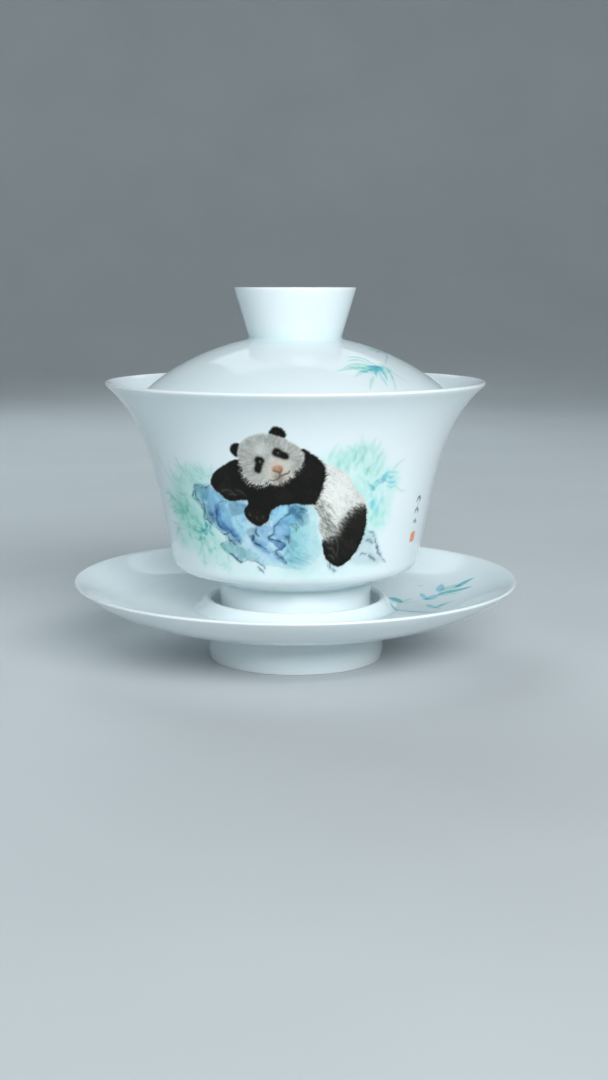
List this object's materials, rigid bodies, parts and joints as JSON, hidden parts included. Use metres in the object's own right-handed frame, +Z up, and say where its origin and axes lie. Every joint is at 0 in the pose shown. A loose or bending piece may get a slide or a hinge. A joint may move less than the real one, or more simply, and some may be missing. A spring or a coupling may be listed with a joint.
{
  "type": "gaiwan",
  "caption": "Three-piece covered tea bowl: a flared bowl standing in the collared well of a footed saucer, closed by a domed lid with a ring knob that sits inside its mouth.",
  "frame": {"origin": "centre of the saucer's foot ring, in the plane of the table it stands on", "axes": "+Z up along the axis that all three pieces are turned about; X and Y are equivalent, and the painted side of the bowl faces -Y"},
  "size_m": [0.118, 0.118, 0.0984],
  "materials": {
    "glazed_porcelain": "gloss"
  },
  "bodies": {
    "saucer": {"saucer": "glazed_porcelain"},
    "bowl": {"bowl": "glazed_porcelain"},
    "lid": {"lid": "glazed_porcelain"}
  },
  "joints": [
    {"name": "bowl_lift", "type": "slide", "parent": "saucer", "child": "bowl", "axis": [0, 0, 1], "range_m": [0, 0.05]},
    {"name": "lid_lift", "type": "slide", "parent": "bowl", "child": "lid", "axis": [0, 0, 1], "range_m": [0, 0.06]}
  ]
}
